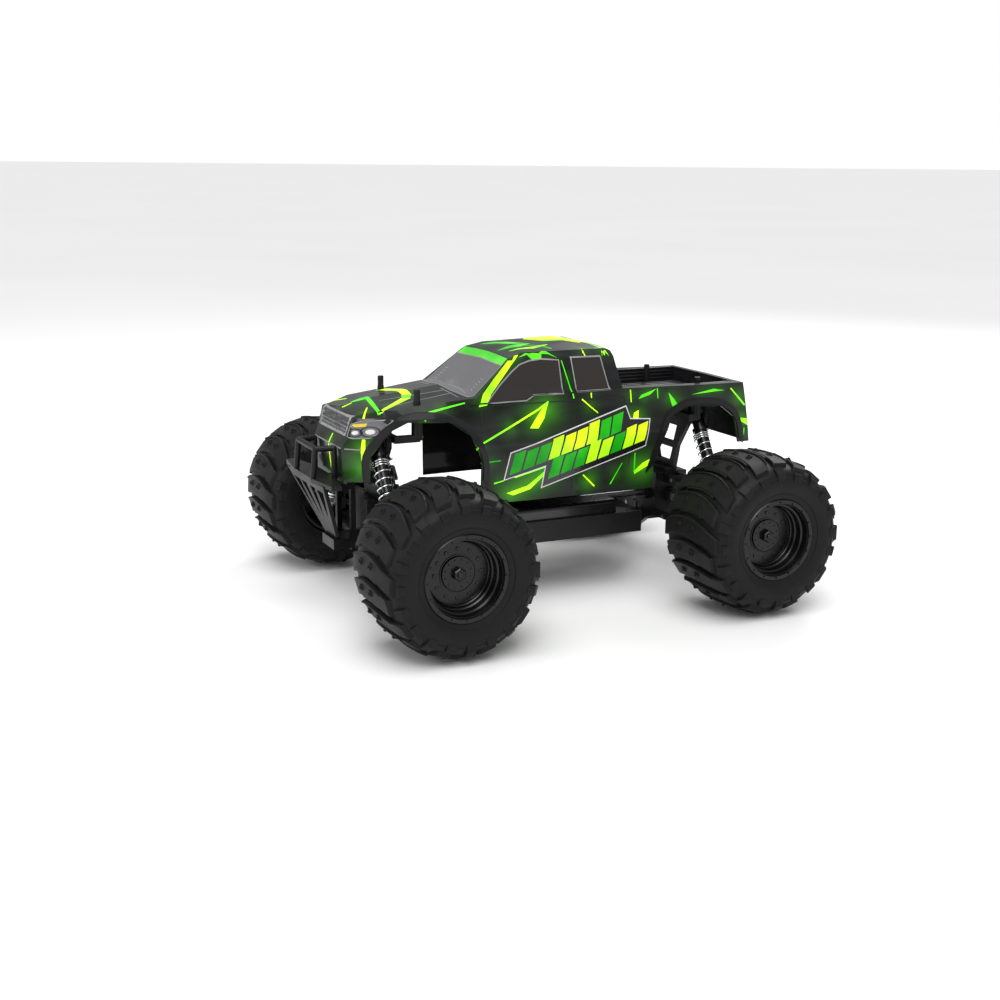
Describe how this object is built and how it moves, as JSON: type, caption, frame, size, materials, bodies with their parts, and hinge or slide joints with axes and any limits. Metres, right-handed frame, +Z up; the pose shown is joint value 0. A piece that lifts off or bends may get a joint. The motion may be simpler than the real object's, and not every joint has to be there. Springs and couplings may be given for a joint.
{
  "type": "rc monster truck",
  "caption": "Radio-controlled monster truck with oversized lugged tyres, double-wishbone suspension, steering, all-wheel drive line and a lift-off pickup body shell.",
  "frame": {"origin": "on the ground, midway between the axles and between the wheels", "axes": "+X towards the front bumper, +Y to the truck's left, +Z up"},
  "size_m": [0.291, 0.259, 0.1526],
  "materials": {
    "tyre_rubber": "matte lugged rubber",
    "rim_plastic": "satin black moulded plastic",
    "spring_chrome": "bright chrome wire",
    "shock_shaft": "satin black, with a steel rod",
    "shock_plastic": "satin black",
    "dark_steel": "dark oiled steel",
    "gear_steel": "sintered steel",
    "painted_shell": "gloss charcoal with neon green streaks",
    "motor_can": "plated can",
    "battery_wrap": "black heat-shrink wrap",
    "electronics_case": "fine moulded texture",
    "switch_knob": "red knob",
    "chassis_plastic": "matte black glass-filled nylon"
  },
  "bodies": {
    "root": {"chassis_tub": "chassis_plastic", "front_gearbox": "chassis_plastic", "rear_gearbox": "chassis_plastic", "front_shock_tower": "chassis_plastic", "rear_shock_tower": "chassis_plastic", "front_bumper": "chassis_plastic", "body_mounts": "chassis_plastic", "drive_motor": "motor_can", "battery_pack": "battery_wrap", "receiver_unit": "electronics_case", "steering_servo": "electronics_case", "hinge_pins": "dark_steel"},
    "servo_horn": {"servo_horn": "chassis_plastic"},
    "steering_link": {"steering_link": "chassis_plastic"},
    "left_tie_rod": {"left_tie_rod": "chassis_plastic"},
    "right_tie_rod": {"right_tie_rod": "chassis_plastic"},
    "centre_driveshaft": {"centre_driveshaft": "dark_steel"},
    "motor_pinion": {"motor_pinion": "gear_steel"},
    "front_differential": {"front_differential": "gear_steel"},
    "rear_differential": {"rear_differential": "gear_steel"},
    "body_shell": {"body_shell": "painted_shell"},
    "power_switch": {"power_switch": "switch_knob"},
    "front_left_lower_arm": {"front_left_lower_arm": "chassis_plastic"},
    "front_left_upper_arm": {"front_left_upper_arm": "chassis_plastic"},
    "front_left_c_hub": {"front_left_c_hub": "chassis_plastic"},
    "front_left_shock_body": {"front_left_shock_body": "shock_plastic", "front_left_shock_spring": "spring_chrome"},
    "front_left_shock_shaft": {"front_left_shock_shaft": "shock_shaft"},
    "front_left_dogbone": {"front_left_dogbone": "dark_steel"},
    "front_left_wheel": {"front_left_rim": "rim_plastic", "front_left_tyre": "tyre_rubber"},
    "front_left_knuckle": {"front_left_knuckle": "chassis_plastic"},
    "front_right_lower_arm": {"front_right_lower_arm": "chassis_plastic"},
    "front_right_upper_arm": {"front_right_upper_arm": "chassis_plastic"},
    "front_right_c_hub": {"front_right_c_hub": "chassis_plastic"},
    "front_right_shock_body": {"front_right_shock_body": "shock_plastic", "front_right_shock_spring": "spring_chrome"},
    "front_right_shock_shaft": {"front_right_shock_shaft": "shock_shaft"},
    "front_right_dogbone": {"front_right_dogbone": "dark_steel"},
    "front_right_wheel": {"front_right_rim": "rim_plastic", "front_right_tyre": "tyre_rubber"},
    "front_right_knuckle": {"front_right_knuckle": "chassis_plastic"},
    "rear_left_lower_arm": {"rear_left_lower_arm": "chassis_plastic"},
    "rear_left_upper_arm": {"rear_left_upper_arm": "chassis_plastic"},
    "rear_left_hub_carrier": {"rear_left_hub_carrier": "chassis_plastic"},
    "rear_left_shock_body": {"rear_left_shock_body": "shock_plastic", "rear_left_shock_spring": "spring_chrome"},
    "rear_left_shock_shaft": {"rear_left_shock_shaft": "shock_shaft"},
    "rear_left_dogbone": {"rear_left_dogbone": "dark_steel"},
    "rear_left_wheel": {"rear_left_rim": "rim_plastic", "rear_left_tyre": "tyre_rubber"},
    "rear_right_lower_arm": {"rear_right_lower_arm": "chassis_plastic"},
    "rear_right_upper_arm": {"rear_right_upper_arm": "chassis_plastic"},
    "rear_right_hub_carrier": {"rear_right_hub_carrier": "chassis_plastic"},
    "rear_right_shock_body": {"rear_right_shock_body": "shock_plastic", "rear_right_shock_spring": "spring_chrome"},
    "rear_right_shock_shaft": {"rear_right_shock_shaft": "shock_shaft"},
    "rear_right_dogbone": {"rear_right_dogbone": "dark_steel"},
    "rear_right_wheel": {"rear_right_rim": "rim_plastic", "rear_right_tyre": "tyre_rubber"}
  },
  "joints": [
    {"name": "front_left_suspension", "type": "hinge", "parent": "root", "child": "front_left_lower_arm", "pos_m": [0.098, 0.022, 0.0385], "axis": [1, 0, 0], "range_deg": [-8, 8], "stiffness_Nm_per_rad": 2, "springref_deg": -2.01},
    {"name": "front_left_upper_arm_hinge", "type": "hinge", "parent": "root", "child": "front_left_upper_arm", "pos_m": [0.098, 0.022, 0.0615], "axis": [1, 0, 0], "range_deg": [-8, 8]},
    {"name": "front_left_hub_hinge", "type": "hinge", "parent": "front_left_lower_arm", "child": "front_left_c_hub", "pos_m": [0.098, 0.084, 0.036], "axis": [1, 0, 0], "range_deg": [-8, 8]},
    {"name": "front_left_shock_swing", "type": "hinge", "parent": "root", "child": "front_left_shock_body", "pos_m": [0.108, 0.021, 0.106], "axis": [1, 0, 0], "range_deg": [-3, 3]},
    {"name": "front_left_shock_stroke", "type": "slide", "parent": "front_left_shock_body", "child": "front_left_shock_shaft", "axis": [0, -0.5145, 0.8575], "range_m": [-0.006, 0.006], "deforming": ["front_left_shock_spring"]},
    {"name": "front_left_knuckle_steer", "type": "hinge", "parent": "front_left_c_hub", "child": "front_left_knuckle", "pos_m": [0.098, 0.084, 0.0475], "axis": [0, 0, 1], "range_deg": [-22, 22]},
    {"name": "front_left_wheel_spin", "type": "hinge", "parent": "front_left_knuckle", "child": "front_left_wheel", "pos_m": [0.098, 0.1, 0.0475], "axis": [0, 1, 0], "continuous": true},
    {"name": "front_left_dogbone_spin", "type": "hinge", "parent": "front_left_lower_arm", "child": "front_left_dogbone", "pos_m": [0.098, 0.022, 0.05], "axis": [0, 0.9992, -0.0403], "continuous": true},
    {"name": "front_right_suspension", "type": "hinge", "parent": "root", "child": "front_right_lower_arm", "pos_m": [0.098, -0.022, 0.0385], "axis": [-1, 0, 0], "range_deg": [-8, 8], "stiffness_Nm_per_rad": 2, "springref_deg": -2.01},
    {"name": "front_right_upper_arm_hinge", "type": "hinge", "parent": "root", "child": "front_right_upper_arm", "pos_m": [0.098, -0.022, 0.0615], "axis": [-1, 0, 0], "range_deg": [-8, 8]},
    {"name": "front_right_hub_hinge", "type": "hinge", "parent": "front_right_lower_arm", "child": "front_right_c_hub", "pos_m": [0.098, -0.084, 0.036], "axis": [-1, 0, 0], "range_deg": [-8, 8]},
    {"name": "front_right_shock_swing", "type": "hinge", "parent": "root", "child": "front_right_shock_body", "pos_m": [0.108, -0.021, 0.106], "axis": [-1, 0, 0], "range_deg": [-3, 3]},
    {"name": "front_right_shock_stroke", "type": "slide", "parent": "front_right_shock_body", "child": "front_right_shock_shaft", "axis": [0, 0.5145, 0.8575], "range_m": [-0.006, 0.006], "deforming": ["front_right_shock_spring"]},
    {"name": "front_right_knuckle_steer", "type": "hinge", "parent": "front_right_c_hub", "child": "front_right_knuckle", "pos_m": [0.098, -0.084, 0.0475], "axis": [0, 0, 1], "range_deg": [-22, 22]},
    {"name": "front_right_wheel_spin", "type": "hinge", "parent": "front_right_knuckle", "child": "front_right_wheel", "pos_m": [0.098, -0.1, 0.0475], "axis": [0, 1, 0], "continuous": true},
    {"name": "front_right_dogbone_spin", "type": "hinge", "parent": "front_right_lower_arm", "child": "front_right_dogbone", "pos_m": [0.098, -0.022, 0.05], "axis": [0, 0.9992, 0.0403], "continuous": true},
    {"name": "rear_left_suspension", "type": "hinge", "parent": "root", "child": "rear_left_lower_arm", "pos_m": [-0.098, 0.022, 0.0385], "axis": [1, 0, 0], "range_deg": [-8, 8], "stiffness_Nm_per_rad": 2, "springref_deg": -2.01},
    {"name": "rear_left_upper_arm_hinge", "type": "hinge", "parent": "root", "child": "rear_left_upper_arm", "pos_m": [-0.098, 0.022, 0.0615], "axis": [1, 0, 0], "range_deg": [-8, 8]},
    {"name": "rear_left_hub_hinge", "type": "hinge", "parent": "rear_left_lower_arm", "child": "rear_left_hub_carrier", "pos_m": [-0.098, 0.084, 0.036], "axis": [1, 0, 0], "range_deg": [-8, 8]},
    {"name": "rear_left_shock_swing", "type": "hinge", "parent": "root", "child": "rear_left_shock_body", "pos_m": [-0.108, 0.021, 0.106], "axis": [1, 0, 0], "range_deg": [-3, 3]},
    {"name": "rear_left_shock_stroke", "type": "slide", "parent": "rear_left_shock_body", "child": "rear_left_shock_shaft", "axis": [0, -0.5145, 0.8575], "range_m": [-0.006, 0.006], "deforming": ["rear_left_shock_spring"]},
    {"name": "rear_left_wheel_spin", "type": "hinge", "parent": "rear_left_hub_carrier", "child": "rear_left_wheel", "pos_m": [-0.098, 0.1, 0.0475], "axis": [0, 1, 0], "continuous": true},
    {"name": "rear_left_dogbone_spin", "type": "hinge", "parent": "rear_left_lower_arm", "child": "rear_left_dogbone", "pos_m": [-0.098, 0.022, 0.05], "axis": [0, 0.9992, -0.0403], "continuous": true},
    {"name": "rear_right_suspension", "type": "hinge", "parent": "root", "child": "rear_right_lower_arm", "pos_m": [-0.098, -0.022, 0.0385], "axis": [-1, 0, 0], "range_deg": [-8, 8], "stiffness_Nm_per_rad": 2, "springref_deg": -2.01},
    {"name": "rear_right_upper_arm_hinge", "type": "hinge", "parent": "root", "child": "rear_right_upper_arm", "pos_m": [-0.098, -0.022, 0.0615], "axis": [-1, 0, 0], "range_deg": [-8, 8]},
    {"name": "rear_right_hub_hinge", "type": "hinge", "parent": "rear_right_lower_arm", "child": "rear_right_hub_carrier", "pos_m": [-0.098, -0.084, 0.036], "axis": [-1, 0, 0], "range_deg": [-8, 8]},
    {"name": "rear_right_shock_swing", "type": "hinge", "parent": "root", "child": "rear_right_shock_body", "pos_m": [-0.108, -0.021, 0.106], "axis": [-1, 0, 0], "range_deg": [-3, 3]},
    {"name": "rear_right_shock_stroke", "type": "slide", "parent": "rear_right_shock_body", "child": "rear_right_shock_shaft", "axis": [0, 0.5145, 0.8575], "range_m": [-0.006, 0.006], "deforming": ["rear_right_shock_spring"]},
    {"name": "rear_right_wheel_spin", "type": "hinge", "parent": "rear_right_hub_carrier", "child": "rear_right_wheel", "pos_m": [-0.098, -0.1, 0.0475], "axis": [0, 1, 0], "continuous": true},
    {"name": "rear_right_dogbone_spin", "type": "hinge", "parent": "rear_right_lower_arm", "child": "rear_right_dogbone", "pos_m": [-0.098, -0.022, 0.05], "axis": [0, 0.9992, 0.0403], "continuous": true},
    {"name": "front_differential_spin", "type": "hinge", "parent": "root", "child": "front_differential", "pos_m": [0.098, 0, 0.05], "axis": [0, 1, 0], "continuous": true},
    {"name": "rear_differential_spin", "type": "hinge", "parent": "root", "child": "rear_differential", "pos_m": [-0.098, 0, 0.05], "axis": [0, 1, 0], "continuous": true},
    {"name": "centre_driveshaft_spin", "type": "hinge", "parent": "root", "child": "centre_driveshaft", "pos_m": [0, 0, 0.05], "axis": [1, 0, 0], "continuous": true},
    {"name": "motor_pinion_spin", "type": "hinge", "parent": "root", "child": "motor_pinion", "pos_m": [-0.03, -0.0156, 0.05], "axis": [1, 0, 0], "continuous": true},
    {"name": "steering", "type": "hinge", "parent": "root", "child": "servo_horn", "pos_m": [0.07, 0.014, 0.05], "axis": [0, 0, 1], "range_deg": [-22, 22]},
    {"name": "steering_link_pivot", "type": "hinge", "parent": "servo_horn", "child": "steering_link", "pos_m": [0.057, 0.014, 0.054], "axis": [0, 0, 1], "range_deg": [-22, 22]},
    {"name": "left_tie_rod_hinge", "type": "hinge", "parent": "steering_link", "child": "left_tie_rod", "pos_m": [0.085, 0.022, 0.0545], "axis": [1, 0, 0], "range_deg": [-8, 8]},
    {"name": "right_tie_rod_hinge", "type": "hinge", "parent": "steering_link", "child": "right_tie_rod", "pos_m": [0.085, -0.022, 0.0545], "axis": [-1, 0, 0], "range_deg": [-8, 8]},
    {"name": "body_shell_lift", "type": "slide", "parent": "root", "child": "body_shell", "axis": [0, 0, 1], "range_m": [0, 0.07]},
    {"name": "power_switch_slide", "type": "slide", "parent": "root", "child": "power_switch", "axis": [1, 0, 0], "range_m": [0, 0.003]}
  ],
  "couplings": [
    {"joint": "front_left_upper_arm_hinge", "follows": "front_left_suspension", "ratio": 1},
    {"joint": "front_left_hub_hinge", "follows": "front_left_suspension", "ratio": -1},
    {"joint": "front_left_shock_swing", "follows": "front_left_suspension", "ratio": 0.22827},
    {"joint": "front_left_shock_stroke", "follows": "front_left_suspension", "m_per_rad": 0.033819},
    {"joint": "front_left_knuckle_steer", "follows": "steering", "ratio": 1},
    {"joint": "front_left_wheel_spin", "follows": "rear_left_wheel_spin", "ratio": 1},
    {"joint": "front_left_dogbone_spin", "follows": "rear_left_wheel_spin", "ratio": 1},
    {"joint": "front_right_upper_arm_hinge", "follows": "front_right_suspension", "ratio": 1},
    {"joint": "front_right_hub_hinge", "follows": "front_right_suspension", "ratio": -1},
    {"joint": "front_right_shock_swing", "follows": "front_right_suspension", "ratio": 0.22827},
    {"joint": "front_right_shock_stroke", "follows": "front_right_suspension", "m_per_rad": 0.033819},
    {"joint": "front_right_knuckle_steer", "follows": "steering", "ratio": 1},
    {"joint": "front_right_wheel_spin", "follows": "rear_left_wheel_spin", "ratio": 1},
    {"joint": "front_right_dogbone_spin", "follows": "rear_left_wheel_spin", "ratio": 1},
    {"joint": "rear_left_upper_arm_hinge", "follows": "rear_left_suspension", "ratio": 1},
    {"joint": "rear_left_hub_hinge", "follows": "rear_left_suspension", "ratio": -1},
    {"joint": "rear_left_shock_swing", "follows": "rear_left_suspension", "ratio": 0.22827},
    {"joint": "rear_left_shock_stroke", "follows": "rear_left_suspension", "m_per_rad": 0.033819},
    {"joint": "rear_left_dogbone_spin", "follows": "rear_left_wheel_spin", "ratio": 1},
    {"joint": "rear_right_upper_arm_hinge", "follows": "rear_right_suspension", "ratio": 1},
    {"joint": "rear_right_hub_hinge", "follows": "rear_right_suspension", "ratio": -1},
    {"joint": "rear_right_shock_swing", "follows": "rear_right_suspension", "ratio": 0.22827},
    {"joint": "rear_right_shock_stroke", "follows": "rear_right_suspension", "m_per_rad": 0.033819},
    {"joint": "rear_right_wheel_spin", "follows": "rear_left_wheel_spin", "ratio": 1},
    {"joint": "rear_right_dogbone_spin", "follows": "rear_left_wheel_spin", "ratio": 1},
    {"joint": "front_differential_spin", "follows": "rear_left_wheel_spin", "ratio": 1},
    {"joint": "rear_differential_spin", "follows": "rear_left_wheel_spin", "ratio": 1},
    {"joint": "centre_driveshaft_spin", "follows": "rear_left_wheel_spin", "ratio": 3},
    {"joint": "motor_pinion_spin", "follows": "rear_left_wheel_spin", "ratio": -9},
    {"joint": "steering_link_pivot", "follows": "steering", "ratio": -1},
    {"joint": "left_tie_rod_hinge", "follows": "front_left_suspension", "ratio": 1},
    {"joint": "right_tie_rod_hinge", "follows": "front_right_suspension", "ratio": 1}
  ]
}
